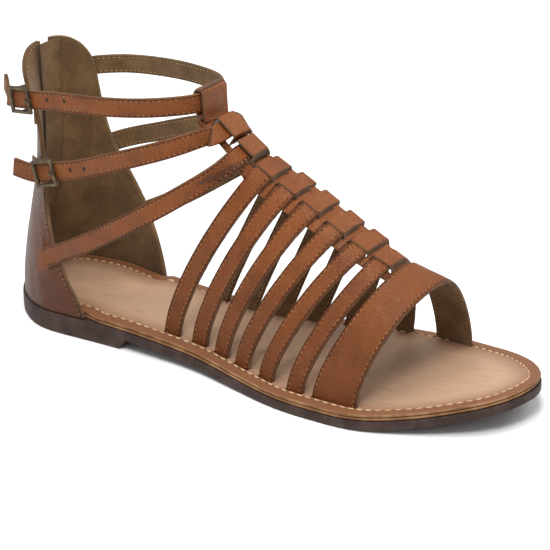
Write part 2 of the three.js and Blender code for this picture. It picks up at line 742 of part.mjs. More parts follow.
function counterShell() {
  const shell = solid(between(counterGrid(COUNTER_WALL / 2), counterGrid(-COUNTER_WALL / 2)));
  const heights = spread(ZIP_BOTTOM, COUNTER_HEIGHT + 2, 8);
  const slot = backSolid(heights, zipHalfWidth, COUNTER_WALL, -COUNTER_WALL);
  return shell.subtract(slot);
}

// Free straps. A point is a centre with the direction of the strap's width.
const UPRIGHT = V(0, 0, 1);

function free(x, y, z) {
  return { centre: V(x, y, z), wide: UPRIGHT };
}

function freeStrap(points) {
  const stops = smoothStops(points, 2 * (points.length - 1));
  return solid(ribbon(stops, STRAP_WIDTH, STRAP_THICKNESS));
}

function onCounter(height, turn, outward) {
  const wide = counterPoint(height + 1, turn, outward).sub(counterPoint(height - 1, turn, outward));
  return { centre: counterPoint(height, turn, outward), wide: wide.normalize() };
}

// Stops through one of the spine's free passages, from the lateral to the medial side.
function throughPassage(passage) {
  const x = passage.at * LENGTH;
  const shoulder = BRIDGE_WIDTH / 2 + SLIT_WIDTH / 2;
  const margin = SPINE_WIDTH / 2;
  const lift = (across) => FREE_LIFT + CLEARANCE / 2 + 3 * CLEARANCE * (across / margin) ** 2;
  return [-margin, -shoulder, 0, shoulder, (shoulder + margin) / 2, margin].map((across) => ({
    centre: onRow(x, across).addScaledVector(ridgeNormal(x, across), lift(across)),
    wide: backAlong((place) => onRow(place, across), x, STRAP_WIDTH / 2),
  }));
}

// Counter strap: one piece with the counter, from its lateral front edge over the instep and back.
function counterStrap() {
  const points = [
    onCounter(30.5, -0.82, 0),
    onCounter(33.5, -0.94, 0),
    free(44.5, -30.2, 37),
    free(62, -33, 46.6),
    free(91.6, -34, 64.6),
    free(110.5, -28.5, 77.3),
    free(118, -19, 83.6),
    ...throughPassage(COUNTER_PASSAGE),
    free(112.5, 15.5, 79),
    free(102, 21, 71.5),
    free(89, 25, 63),
    free(70, 27.8, 50.5),
    free(54, 27.3, 41),
    onCounter(36.5, 0.95, 0),
    onCounter(33, 0.84, 0),
  ];
  return freeStrap(points);
}

const OVER_COUNTER = COUNTER_WALL / 2 + 2 * CLEARANCE + STRAP_THICKNESS / 2;

// The two ankle straps, from the buckle's tail over the instep to the medial side of the counter.
const ANKLE_STRAPS = {
  upper: {
    buckle: V(21.6, -22.1, 97.2),
    along: V(1, -0.16, 0.16),
    tail: [free(6.6, -15.6, 100.2), free(10.5, -18.4, 98.4)],
    stubTurns: [-0.6, -0.77, -0.95],
    lateral: [
      free(38, -24.3, 100),
      free(55, -26.5, 102.5),
      free(73, -26.5, 104.4),
      free(88, -22.5, 105.8),
      free(97.6, -14, 106),
    ],
    over: [
      free(LOOP_PLACE - 0.1, -8.2, LOOP_HEIGHT),
      free(LOOP_PLACE, 1, LOOP_HEIGHT),
      free(LOOP_PLACE - 0.1, 10, LOOP_HEIGHT),
    ],
    medial: [
      free(95.5, 14.5, 106.3),
      free(85, 18.5, 106),
      free(70, 22.8, 104.8),
      free(51, 27.3, 102.2),
      free(36, 28, 100.4),
    ],
    ends: [
      onCounter(99, 0.97, OVER_COUNTER),
      onCounter(98.2, 0.8, OVER_COUNTER),
      onCounter(97.5, 0.62, OVER_COUNTER),
    ],
  },
  lower: {
    buckle: V(35.6, -26.2, 69.2),
    along: V(1, -0.1, 0.3),
    tail: [free(17.3, -25.8, 68), free(22.5, -25.6, 67.2)],
    stubTurns: [-0.74, -0.88, -1],
    lateral: [
      free(53, -27.6, 74.2),
      free(72, -29, 81.6),
      free(92, -28, 89.2),
      free(103.5, -21.5, 93.3),
      free(109, -14, 95.3),
    ],
    over: throughPassage(ANKLE_PASSAGE),
    medial: [
      free(104.5, 14, 92),
      free(93, 19, 87.8),
      free(75, 22.5, 82),
      free(52, 26.3, 73.3),
      free(40, 28, 69),
    ],
    ends: [
      onCounter(65, 0.96, OVER_COUNTER),
      onCounter(62.5, 0.82, OVER_COUNTER),
      onCounter(60.5, 0.68, OVER_COUNTER),
    ],
  },
};

// Frame of a buckle: along the strap, across it and away from the leg.
function buckleFrame({ buckle, along }) {
  const forward = along.clone().normalize();
  const up = UPRIGHT.clone().addScaledVector(forward, -UPRIGHT.dot(forward)).normalize();
  const out = forward.clone().cross(up).normalize();
  return new THREE.Matrix4().makeBasis(forward, up, out).setPosition(buckle);
}

function ankleStrap(strap) {
  const frame = buckleFrame(strap);
  const straight = STRAIGHT_AT_BUCKLE.map((place) => ({
    centre: V(place, 0, 0).applyMatrix4(frame),
    wide: UPRIGHT,
  }));
  const { tail, lateral, over, medial, ends } = strap;
  const points = [...tail, ...straight, ...lateral, ...over, ...medial, ...ends];
  const leather = freeStrap(points);
  const hole = new THREE.CylinderGeometry(PRONG_HOLE / 2, PRONG_HOLE / 2, 3 * STRAP_THICKNESS, 10);
  hole.rotateX(Math.PI / 2).translate(HOLE_PLACE, 0, 0).applyMatrix4(frame);
  return leather.subtract(solid(hole));
}

// Buckle: a rectangular ring over the strap, with a bar under it that its stub and prong hang on.
const OVER_STRAP = STRAP_THICKNESS / 2 + CLEARANCE + WIRE / 2;

function box(length, width, height, x, y, z) {
  return solid(new THREE.BoxGeometry(length, width, height).translate(x, y, z));
}

function buckle(frame) {
  const inner = { length: FRAME_LENGTH - 2 * WIRE, width: FRAME_WIDTH - 2 * WIRE };
  const ring = box(FRAME_LENGTH, FRAME_WIDTH, WIRE, 0, 0, OVER_STRAP)
    .subtract(box(inner.length, inner.width, 2 * WIRE, 0, 0, OVER_STRAP));
  const roller = new THREE.CylinderGeometry(ROLLER / 2, ROLLER / 2, inner.width + WIRE, 10);
  roller.translate((inner.length + WIRE) / 2, 0, OVER_STRAP);
  const side = (FRAME_WIDTH - WIRE) / 2;
  const tall = 2 * OVER_STRAP + WIRE;
  const parts = [
    ring,
    solid(roller),
    box(WIRE, FRAME_WIDTH, WIRE, 0, 0, -OVER_STRAP),
    box(WIRE, WIRE, tall, 0, side, 0),
    box(WIRE, WIRE, tall, 0, -side, 0),
  ];
  return drawn(joined(parts)).applyMatrix4(frame);
}

// Prong: held under the strap in front of the bar, up through the hole and over the roller.
function prong(frame) {
  const bar = WIRE / 2 + CLEARANCE + PRONG / 2;
  const rest = OVER_STRAP + ROLLER / 2 + CLEARANCE + PRONG / 2;
  const roller = (FRAME_LENGTH - WIRE) / 2;
  const half = PRONG / 2;
  const route = [
    V(bar, 0, -OVER_STRAP),
    V(HOLE_PLACE - half, 0, -STRAP_THICKNESS / 2 - half),
    V(HOLE_PLACE, 0, 0),
    V(HOLE_PLACE + CLEARANCE, 0, STRAP_THICKNESS / 2 + PRONG),
    V(roller - PRONG, 0, rest),
    V(roller + PRONG, 0, rest),
  ];
  const tube = ribbon(route.map((centre) => ({ centre, wide: V(0, 1, 0) })), PRONG, PRONG);
  return tube.applyMatrix4(frame);
}

// Stub: a leather strip along the counter whose end is turned up round the buckle's bar.
function stub(frame, strap) {
  const under = OVER_STRAP + WIRE / 2 + 2.5 * CLEARANCE + STUB_THICKNESS / 2;
  const local = (x, z) => ({ centre: V(x, 0, z).applyMatrix4(frame), wide: UPRIGHT });
  const lying = COUNTER_WALL / 2 + 5 * CLEARANCE + STUB_THICKNESS / 2;
  const height = (turn) => strap.buckle.z - WIRE - STUB_FALL * (1 + turn);
  const stops = [
    ...strap.stubTurns.map((turn) => onCounter(height(turn), turn, lying)),
    local(-WIRE, -under),
    local(0, -under),
  ];
  return ribbon(stops, STUB_WIDTH, STUB_THICKNESS);
}

// Zip
function zipTape() {
  const heights = spread(ZIP_BOTTOM - 3, ZIP_TOP, 9);
  const lining = COUNTER_WALL / 2 + 2 * CLEARANCE;
  const tape = backSolid(heights, () => ZIP_TAPE_WIDTH / 2, -lining, -lining - ZIP_TAPE);
  const chain = backSolid(
    spread(ZIP_BOTTOM + CLEARANCE + 0.5, ZIP_TOP - 3, 8),
    () => CHAIN_WIDTH / 2,
    COUNTER_WALL / 2 + CHAIN_PROUD,
    -lining - ZIP_TAPE / 2,
  );
  return drawn(tape.add(chain));
}

// Frame at the slider: across the heel, up it and out of its back.
function sliderFrame() {
  const at = (height) => counterPoint(height, 0.0001, COUNTER_WALL / 2 + CHAIN_PROUD + CLEARANCE);
  const up = at(SLIDER_PLACE + 3).sub(at(SLIDER_PLACE - 3)).normalize();
  const across = V(0, -1, 0).addScaledVector(up, up.y).normalize();
  return new THREE.Matrix4().makeBasis(across, up, across.clone().cross(up)).setPosition(at(SLIDER_PLACE));
}

function slider() {
  const post = PULL_WIDTH_TOP / 2 + CLEARANCE + CHEEK / 2;
  const parts = [
    box(SLIDER_WIDTH, SLIDER_LENGTH, SLIDER_PLATE, 0, 0, SLIDER_PLATE / 2),
    box(CHEEK, CHEEK_LENGTH, CHEEK_HEIGHT, post, PIN_UP, CHEEK_HEIGHT / 2),
    box(CHEEK, CHEEK_LENGTH, CHEEK_HEIGHT, -post, PIN_UP, CHEEK_HEIGHT / 2),
  ];
  const pin = new THREE.CylinderGeometry(PIN / 2, PIN / 2, 2 * post, 10);
  pin.rotateZ(Math.PI / 2).translate(0, PIN_UP, PIN_OUT);
  return drawn(joined([...parts, solid(pin)])).applyMatrix4(sliderFrame());
}

// Pull: a flat tab that hangs on the slider's pin.
function pull() {
  const outer = PIN / 2 + CLEARANCE + PULL_THICKNESS / 2;
  const ring = new THREE.CylinderGeometry(outer, outer, PULL_WIDTH_TOP, 14);
  const inner = PIN / 2 + CLEARANCE;
  const bore = new THREE.CylinderGeometry(inner, inner, 2 * PULL_WIDTH_TOP, 14);
  const turned = (geometry) => solid(geometry.rotateZ(Math.PI / 2));
  const neck = box(PULL_WIDTH_TOP, PULL_NECK, PULL_THICKNESS, 0, -PULL_NECK / 2 - CLEARANCE, 0);
  const tab = box(PULL_WIDTH, PULL_LENGTH - PULL_NECK, PULL_THICKNESS, 0, -(PULL_LENGTH + PULL_NECK) / 2, 0);
  const whole = joined([turned(ring), neck, tab]).subtract(turned(bore));
  const hanging = drawn(whole).translate(0, PIN_UP, PIN_OUT);
  return hanging.applyMatrix4(sliderFrame());
}

const outsole = soleLayer(outsoleTop, outsoleUnder, () => 0);
const midsole = soleLayer(midsoleTop, midsoleUnder, layerInset);
const insole = soleLayer(insoleTop, insoleUnder, layerInset);

const strapPaths = SIDE_STRAPS.map(sideStrapPath);
const slots = joined([toeBand(CLEARANCE), ...strapPaths.map((path) => strapAlong(path, CLEARANCE))]);
const cage = joined([spine(), loop(), toeBand(0), ...strapPaths.map((path) => strapAlong(path, 0))]);

// The origin is on the floor under the heel.
const sandal = new THREE.Group();

function add(name, geometry, look) {
  geometry.translate(-HEEL_REST, 0, 0);
  const mesh = new THREE.Mesh(geometry, new THREE.MeshStandardMaterial(look));
  mesh.name = name;
  sandal.add(mesh);
}

add("outsole", outsole, RUBBER);
add("midsole", drawn(solid(midsole).subtract(slots)), STRIP);
add("insole", drawn(solid(insole).subtract(slots)), PALE);
add("upper", drawn(cage), LEATHER);
add("counter", drawn(counterShell().add(counterStrap())), LEATHER);
for (const [place, strap] of Object.entries(ANKLE_STRAPS)) {
  const frame = buckleFrame(strap);
  add(`ankle_strap_${place}`, drawn(ankleStrap(strap)), LEATHER);
  add(`buckle_${place}`, buckle(frame), BRASS);
  add(`prong_${place}`, prong(frame), BRASS);
  add(`stub_${place}`, stub(frame, strap), LEATHER);
}
add("zip_tape", zipTape(), TAPE);
add("zip_slider", slider(), BRASS);
add("zip_pull", pull(), BRASS);

export default sandal;
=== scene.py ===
"""Looks of a gladiator sandal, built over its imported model: leather, linings, seams, brass and zip."""

import logging
import math
from collections import defaultdict
from dataclasses import dataclass, field
from enum import Enum

import bmesh
import bpy
import numpy as np
from mathutils import Matrix, Vector
from mathutils.bvhtree import BVHTree
from mathutils.kdtree import KDTree


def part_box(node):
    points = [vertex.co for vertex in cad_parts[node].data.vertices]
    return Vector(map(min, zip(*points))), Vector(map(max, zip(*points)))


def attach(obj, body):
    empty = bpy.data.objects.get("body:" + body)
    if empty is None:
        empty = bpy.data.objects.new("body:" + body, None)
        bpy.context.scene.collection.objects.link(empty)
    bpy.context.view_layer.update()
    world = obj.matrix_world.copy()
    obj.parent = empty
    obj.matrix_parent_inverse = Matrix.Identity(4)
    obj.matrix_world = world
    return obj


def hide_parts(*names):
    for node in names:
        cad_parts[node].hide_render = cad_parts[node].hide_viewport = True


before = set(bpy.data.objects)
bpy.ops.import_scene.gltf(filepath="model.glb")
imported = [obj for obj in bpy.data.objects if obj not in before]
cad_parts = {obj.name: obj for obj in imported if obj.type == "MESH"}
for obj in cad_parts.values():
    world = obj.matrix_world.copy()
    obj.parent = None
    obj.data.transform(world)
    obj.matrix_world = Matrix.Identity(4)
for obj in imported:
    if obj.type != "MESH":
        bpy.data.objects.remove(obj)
LOG = logging.getLogger("sandal")

MM = 0.001
WELD = 0.02 * MM
SHARP = math.radians(38)
CORNER = math.radians(125)
BEND = math.radians(135)
FACING = 0.4
NO_AREA = 1e-12
SEAM_IN = 1.15
SEAM_HALF = 0.42
SEWN = 13.0
UNSEWN = 10.0
SHOE = "shoe"
PULL = "pull"
Colour = tuple[float, float, float]
Line = tuple[tuple[float, float], ...]


class Side(Enum):
    """Which side of a piece of leather a face is on; the value is its material index."""

    OUTER = 0
    CUT = 1
    LINING = 2


class Socket:
    """A shader socket that adds Math nodes when it is used in an expression."""

    def __init__(self, graph: "Graph", socket: bpy.types.NodeSocket) -> None:
        """Wraps one output socket of a graph."""
        self.graph = graph
        self.socket = socket

    def _math(self, operation: str, first: object, second: object) -> "Socket":
        """Adds a Math node for two values or sockets."""
        return self.graph.node("ShaderNodeMath", {"operation": operation}, {0: first, 1: second})

    def __add__(self, other: object) -> "Socket":
        """Sum of the socket and a value."""
        return self._math("ADD", self, other)

    __radd__ = __add__

    def __mul__(self, other: object) -> "Socket":
        """Product of the socket and a value."""
        return self._math("MULTIPLY", self, other)

    __rmul__ = __mul__

    def __sub__(self, other: object) -> "Socket":
        """Socket less a value."""
        return self._math("SUBTRACT", self, other)

    def __rsub__(self, other: object) -> "Socket":
        """Value less the socket."""
        return self._math("SUBTRACT", other, self)

    def between(self, low: float, high: float) -> "Socket":
        """Smooth step of the socket from 0 at low to 1 at high.

        Args:
            low: Value that gives 0.
            high: Value that gives 1; it may be under low, and the step then falls.

        Returns:
            Socket from 0 to 1.
        """
        turned = low > high
        bottom, top = sorted((low, high))
        ends = {"From Min": bottom, "From Max": top, "To Min": float(turned), "To Max": float(not turned)}
        step = {"interpolation_type": "SMOOTHSTEP"}
        return self.graph.node("ShaderNodeMapRange", step, {"Value": self, **ends}, "Result")


class Graph:
    """The node tree of one material."""

    def __init__(self, name: str) -> None:
        """Makes a material with its shader.

        Args:
            name: Name of the material.
        """
        self.material = bpy.data.materials.new(name)
        self.material.use_nodes = True
        self.tree = self.material.node_tree
        self.shader = self.tree.nodes["Principled BSDF"]
        self.place = self.node("ShaderNodeTexCoord", {}, {}, "Object")

    def node(self, kind: str, settings: dict, inputs: dict, output: object = 0) -> Socket:
        """Adds one node.

        Args:
            kind: Node type.
            settings: Properties of the node, set first.
            inputs: Values or sockets by input name or number.
            output: Name or number of the output that is returned.

        Returns:
            The output socket.
        """
        node = self.tree.nodes.new(kind)
        for name, value in settings.items():
            setattr(node, name, value)
        for name, value in inputs.items():
            if isinstance(value, Socket):
                self.tree.links.new(value.socket, node.inputs[name])
            else:
                node.inputs[name].default_value = value
        return Socket(self, node.outputs[output])

    def feed(self, name: str, value: object) -> None:
        """Sets or links one input of the shader.

        Args:
            name: Name of the input.
            value: A value or a socket.
        """
        if isinstance(value, Socket):
            self.tree.links.new(value.socket, self.shader.inputs[name])
        else:
            self.shader.inputs[name].default_value = value

    def noise(self, scale: float, detail: float = 3.0, place: Socket | None = None) -> Socket:
        """Noise over the piece, from 0 to 1, with scale in cycles a metre."""
        inputs = {"Vector": place or self.place, "Scale": scale, "Detail": detail, "Roughness": 0.6}
        return self.node("ShaderNodeTexNoise", {}, inputs, "Fac")

    def cells(self, scale: float, feature: str = "F1") -> Socket:
        """Distance in a pattern of cells, with scale in cells a metre."""
        inputs = {"Vector": self.place, "Scale": scale}
        return self.node("ShaderNodeTexVoronoi", {"feature": feature}, inputs, "Distance")

    def stretched(self, amounts: tuple[float, float, float]) -> Socket:
        """Object place multiplied along each axis."""
        pair = {0: self.place, 1: amounts}
        return self.node("ShaderNodeVectorMath", {"operation": "MULTIPLY"}, pair, "Vector")

    def height(self) -> Socket:
        """Height over the floor in metres."""
        return self.node("ShaderNodeSeparateXYZ", {}, {0: self.place}, "Z")

    def painted(self, name: str) -> Socket:
        """A value that the piece's own mesh carries at its points."""
        return self.node("ShaderNodeAttribute", {"attribute_name": name}, {}, "Fac")

    def trench(self, line: float, half: float = SEAM_HALF) -> Socket:
        """Narrow band along the sewn edge, from 0 to 1.

        Args:
            line: Distance of its middle from the edge in mm.
            half: Half of its width in mm.

        Returns:
            Socket that is 1 on the line.
        """
        edge = self.painted("edge_mm")
        return edge.between(line - half, line) * edge.between(line + half, line)

    def mix(self, share: object, first: object, second: object) -> Socket:
        """Mix of two colours.

        Args:
            share: Share of the second colour, from 0 to 1.
            first: First colour, a socket or three numbers.
            second: Second colour.

        Returns:
            Colour socket.
        """
        pair = [value if isinstance(value, Socket) else (*value, 1.0) for value in (first, second)]
        return self.node("ShaderNodeMix", {"data_type": "RGBA"}, {0: share, 6: pair[0], 7: pair[1]}, 2)

    def bump(self, height: Socket, distance: float) -> None:
        """Feeds a bump of that depth in metres to the shader."""
        inputs = {"Height": height, "Distance": distance, "Strength": 1.0}
        self.feed("Normal", self.node("ShaderNodeBump", {}, inputs, "Normal"))


def toned(colour: Colour, share: float) -> Colour:
    """A share of a colour."""
    return tuple(share * value for value in colour)


@dataclass(frozen=True)
class GrainLeather:
    """Smooth leather with a fine pebble grain, burnished darker along its edges, with painted shade near
    the sole.
    """

    name: str
    base: Colour
    dark: Colour
    light: Colour
    rough: float = 0.42
    seam: float = SEAM_IN

    def make(self) -> bpy.types.Material:
        """Builds the material.

        Returns:
            The material.
        """
        graph = Graph(self.name)
        clouds = graph.noise(55, 4)
        streaks = graph.noise(1, 3, graph.stretched((260, 260, 90)))
        pores = graph.cells(1300)
        cracks = graph.cells(820, "DISTANCE_TO_EDGE")
        edge = graph.painted("edge_mm")
        # Burnished darker along the sewn edges, and painted shade that darkens the leather towards the
        # sole.
        sole = graph.height().between(0.07, 0.008)
        burnish_and_shade = edge.between(1.5, 0.1) * 0.5 + sole * 0.45
        colour = graph.mix(clouds.between(0.25, 0.6) * 0.45 + 0.55, self.dark, self.base)
        colour = graph.mix(streaks.between(0.5, 0.8) * 0.22, colour, self.light)
        colour = graph.mix(cracks.between(0.09, 0.0) * 0.4, colour, self.dark)
        colour = graph.mix(burnish_and_shade, colour, self.dark)
        # Painted shade: the stitch groove is darkened in colour as well as sunk by the bump.
        trench = graph.trench(self.seam)
        colour = graph.mix(trench * 0.7, colour, toned(self.dark, 0.35))
        # Painted shade along the crease.
        crease = graph.painted("crease")
        colour = graph.mix(crease * 0.5, colour, self.dark)
        graph.feed("Base Color", colour)
        graph.feed("Roughness", clouds.between(0.3, 0.7) * 0.14 + pores * 0.06 + (self.rough - 0.07))
        graph.feed("Specular IOR Level", 0.2)
        graph.feed("Coat Weight", 0.03)
        graph.feed("Coat Roughness", 0.25)
        grain = cracks.between(0.0, 0.22) * 0.55 + pores.between(0.0, 0.8) * 0.3
        grain = grain + graph.noise(2600, 2) * 0.25
        graph.bump(grain + streaks * 0.4 - trench * 1.2 - crease * 0.5, 0.00024)
        return graph.material


@dataclass(frozen=True)
class Suede:
    """Napped lining or cut edge of the leather."""

    name: str
    base: Colour
    dark: Colour
    seam: float = SEAM_IN

    def make(self) -> bpy.types.Material:
        """Builds the material.

        Returns:
            The material.
        """
        graph = Graph(self.name)
        clouds = graph.noise(90, 4)
        nap = graph.noise(1, 5, graph.stretched((1500, 1500, 900)))
        tone = clouds.between(0.35, 0.7) * 0.6 + nap.between(0.35, 0.7) * 0.4
        crease = graph.painted("crease")
        trench = graph.trench(self.seam)
        colour = graph.mix(tone, self.dark, self.base)
        # Painted shade: darker in the stitch groove and along the crease.
        colour = graph.mix(trench * 0.35 + crease * 0.65, colour, toned(self.dark, 0.45))
        graph.feed("Base Color", colour)
        graph.feed("Roughness", nap * 0.1 + 0.84)
        graph.feed("Specular IOR Level", 0.2)
        graph.feed("Sheen Weight", 0.1)
        graph.feed("Sheen Roughness", 0.5)
        graph.bump(nap + graph.cells(1900) * 0.5 - trench - crease, 0.00014)
        return graph.material


@dataclass(frozen=True)
class Footbed:
    """Pale insole leather with a tan rim outside its stitch line."""

    name: str
    base: Colour
    dark: Colour
    rim: Colour
    line: float

    def make(self) -> bpy.types.Material:
        """Builds the material.

        Returns:
            The material.
        """
        graph = Graph(self.name)
        clouds = graph.noise(38, 4)
        marks = graph.noise(1, 4, graph.stretched((120, 480, 480)))
        pores = graph.cells(1700)
        edge = graph.painted("edge_mm")
        wander = edge + clouds * 6.0
        colour = graph.mix(clouds.between(0.35, 0.65) * 0.6, self.base, toned(self.base, 0.86))
        colour = graph.mix(marks.between(0.5, 0.75) * 0.22, colour, self.dark)
        colour = graph.mix(wander.between(self.line + 13.0, self.line) * 0.72, colour, self.dark)
        colour = graph.mix(edge.between(self.line + 0.1, self.line - 0.5), colour, self.rim)
        # Painted shade in the groove of the stitch line.
        trench = graph.trench(self.line, 0.5)
        colour = graph.mix(trench * 0.8, colour, toned(self.rim, 0.3))
        graph.feed("Base Color", colour)
        graph.feed("Roughness", marks * 0.15 + 0.45)
        graph.feed("Specular IOR Level", 0.35)
        graph.bump(marks * 0.5 + pores * 0.4 - trench * 1.6, 0.00014)
        return graph.material


@dataclass(frozen=True)
class Layer:
    """Edge of a sole layer: stacked leather or moulded rubber, with fine lines along it."""

    name: str
    base: Colour
    dark: Colour
    rough: float
    lines: float

    def make(self) -> bpy.types.Material:
        """Builds the material.

        Returns:
            The material.
        """
        graph = Graph(self.name)
        clouds = graph.noise(120, 4)
        grooves = graph.noise(1, 3, graph.stretched((60, 60, self.lines)))
        dust = graph.noise(900, 3)
        colour = graph.mix(clouds.between(0.35, 0.68), self.dark, self.base)
        colour = graph.mix(grooves.between(0.45, 0.65) * 0.3, colour, self.dark)
        worn = graph.height().between(0.0035, 0.0) * dust.between(0.4, 0.7)
        colour = graph.mix(worn * 0.4, colour, tuple(1.7 * value + 0.02 for value in self.base))
        graph.feed("Base Color", colour)
        graph.feed("Roughness", dust * 0.2 + (self.rough - 0.1))
        graph.feed("Specular IOR Level", 0.15)
        graph.bump(grooves + dust * 0.4, 0.00012)
        return graph.material


@dataclass(frozen=True)
class Thread:
    """Twisted sewing thread."""

    name: str
    base: Colour
    dark: Colour

    def make(self) -> bpy.types.Material:
        """Builds the material.

        Returns:
            The material.
        """
        graph = Graph(self.name)
        twist = graph.noise(1, 2, graph.stretched((2600, 2600, 2600)))
        tone = graph.noise(110, 2)
        share = twist.between(0.3, 0.7) * 0.5 + tone.between(0.4, 0.6) * 0.5
        graph.feed("Base Color", graph.mix(share, self.dark, self.base))
        graph.feed("Roughness", twist * 0.2 + 0.45)
        graph.bump(twist, 0.00006)
        return graph.material


@dataclass(frozen=True)
class AgedBrass:
    """Brass darkened in its hollows and rubbed bright on its high places."""

    name: str
    bright: Colour
    dark: Colour

    def make(self) -> bpy.types.Material:
        """Builds the material.

        Returns:
            The material.
        """
        graph = Graph(self.name)
        blotch = graph.noise(420, 4)
        scratch = graph.noise(1, 3, graph.stretched((1800, 500, 1800)))
        rubbed = graph.painted("edge_mm").between(0.7, 0.0)
        shine = blotch.between(0.25, 0.8) * 0.5 + rubbed * 0.4 + scratch.between(0.4, 0.8) * 0.15
        graph.feed("Base Color", graph.mix(shine, self.dark, self.bright))
        graph.feed("Metallic", shine * 0.35 + 0.62)
        graph.feed("Roughness", 0.5 - shine * 0.2)
        graph.bump(blotch + scratch * 0.4, 0.00008)
        return graph.material


@dataclass(frozen=True)
class Webbing:
    """Woven tape of the zip."""

    name: str
    base: Colour
    dark: Colour

    def make(self) -> bpy.types.Material:
        """Builds the material.

        Returns:
            The material.
        """
        graph = Graph(self.name)
        threads = {"Vector": graph.place, "Scale": 260.0}
        warp = graph.node("ShaderNodeTexWave", {"bands_direction": "Z"}, threads, "Fac")
        weft = graph.node("ShaderNodeTexWave", {"bands_direction": "Y"}, threads, "Fac")
        fuzz = graph.noise(1400, 3)
        weave = warp * weft
        graph.feed("Base Color", graph.mix(weave * 0.6 + fuzz * 0.4, self.dark, self.base))
        graph.feed("Roughness", fuzz * 0.15 + 0.78)
        graph.bump(weave + fuzz * 0.3, 0.0002)
        return graph.material


@dataclass(frozen=True)
class Studio:
    """Floor, light and the camera at the photograph's angle."""

    azimuth: float = 36.05
    elevation: float = 23.287
    roll: float = -1.644
    distance: float = 1.149868
    target: tuple[float, float, float] = (0.09438, 0.0, 0.035282)
    focal_px: float = 2849.386
    frame_px: int = 550
    sensor: float = 36.0

    def axes(self) -> tuple[Vector, Vector, Vector]:
        """Directions of the camera.

        Returns:
            Its right, up and backward directions.
        """
        turn, lift = math.radians(self.azimuth), math.radians(self.elevation)
        back = Vector((math.cos(lift) * math.sin(turn), -math.cos(lift) * math.cos(turn), math.sin(lift)))
        right = Vector((0, 0, 1)).cross(back).normalized()
        up = back.cross(right)
        spin = Matrix.Rotation(math.radians(self.roll), 3, back)
        return spin @ right, spin @ up, back

    def eye(self) -> Vector:
        """Place of the camera."""
        return Vector(self.target) + self.axes()[2] * self.distance

    def ray(self, x: float, y: float) -> Vector:
        """Direction from the camera through a point of the frame.

        Args:
            x: Pixels from the left.
            y: Pixels from the top.

        Returns:
            Direction of length 1.
        """
        right, up, back = self.axes()
        middle = self.frame_px / 2
        return (right * (x - middle) + up * (middle - y) - back * self.focal_px).normalized()

    def build(self) -> None:
        """Adds the camera, the floor and the lights."""
        scene = bpy.context.scene
        right, up, back = self.axes()
        data = bpy.data.cameras.new("camera")
        data.sensor_width = self.sensor
        data.lens = self.focal_px * self.sensor / self.frame_px
        data.clip_start, data.clip_end = 0.05, 20
        camera = bpy.data.objects.new("camera", data)
        turn = Matrix((right, up, back)).transposed().to_4x4()
        camera.matrix_world = Matrix.Translation(self.eye()) @ turn
        scene.collection.objects.link(camera)
        scene.camera = camera
        scene.view_settings.view_transform = "Standard"
        self._floor()
        self._light("top", (-0.1, -0.1, 1.4), 0.9, 12.0)
        self._light("key", (0.45, -0.5, 1.05), 0.4, 7.0)
        self._light("back", (0.5, 1.0, 0.8), 0.7, 5.0)
        world = bpy.data.worlds.new("studio")
        world.use_nodes = True
        world.node_tree.nodes["Background"].inputs["Color"].default_value = (1, 1, 1, 1)
        world.node_tree.nodes["Background"].inputs["Strength"].default_value = 0.55
        scene.world = world

    def _floor(self) -> None:
        """Adds the pale floor."""
        shape = bmesh.new()
        bmesh.ops.create_grid(shape, x_segments=1, y_segments=1, size=6)
        mesh = bpy.data.meshes.new("floor")
        shape.to_mesh(mesh)
        shape.free()
        floor = bpy.data.objects.new("floor", mesh)
        bpy.context.scene.collection.objects.link(floor)
        graph = Graph("floor_paint")
        graph.feed("Base Color", graph.mix(graph.noise(3, 2), (0.93, 0.93, 0.93), (0.97, 0.97, 0.97)))
        graph.feed("Roughness", 0.9)
        graph.feed("Specular IOR Level", 0.1)
        mesh.materials.append(graph.material)

    def _light(self, name: str, place: tuple[float, float, float], size: float, power: float) -> None:
        """Adds a soft square light that looks at the sandal.

        Args:
            name: Name of the light.
            place: Where it stands.
            size: Length of its side.
            power: Its power in watts.
        """
        data = bpy.data.lights.new(name, "AREA")
        data.size = size
        data.energy = power
        lamp = bpy.data.objects.new(name, data)
        lamp.location = place
        lamp.rotation_euler = (Vector(self.target) - Vector(place)).to_track_quat("-Z", "Y").to_euler()
        bpy.context.scene.collection.objects.link(lamp)


@dataclass(frozen=True)
class Foot:
    """The foot's centre line, from the shin down through the heel and forward to the toes."""

    line: tuple[tuple[float, float, float], ...] = (
        (22, 0, 140),
        (18, 0, 45),
        (75, 0, 18),
        (190, 0, 12),
    )

    def outward(self, place: Vector) -> Vector:
        """Direction from the centre line to a place.

        Args:
            place: The place, in metres.

        Returns:
            Direction of length 1.
        """
        points = [Vector(point) * MM for point in self.line]
        best = None
        for first, second in zip(points, points[1:]):
            along = second - first
            share = min(1.0, max(0.0, (place - first).dot(along) / along.length_squared))
            away = place - (first + along * share)
            if best is None or away.length < best.length:
                best = away
        return best.normalized()


@dataclass
class Row:
    """A sewn edge: points on it, directions into the face beside it, and normals of that face."""

    points: list[Vector]
    inward: list[Vector]
    normals: list[Vector]
    side: Side

    def length(self) -> float:
        """Length of the edge that the row follows."""
        return sum((b - a).length for a, b in zip(self.points, self.points[1:]))


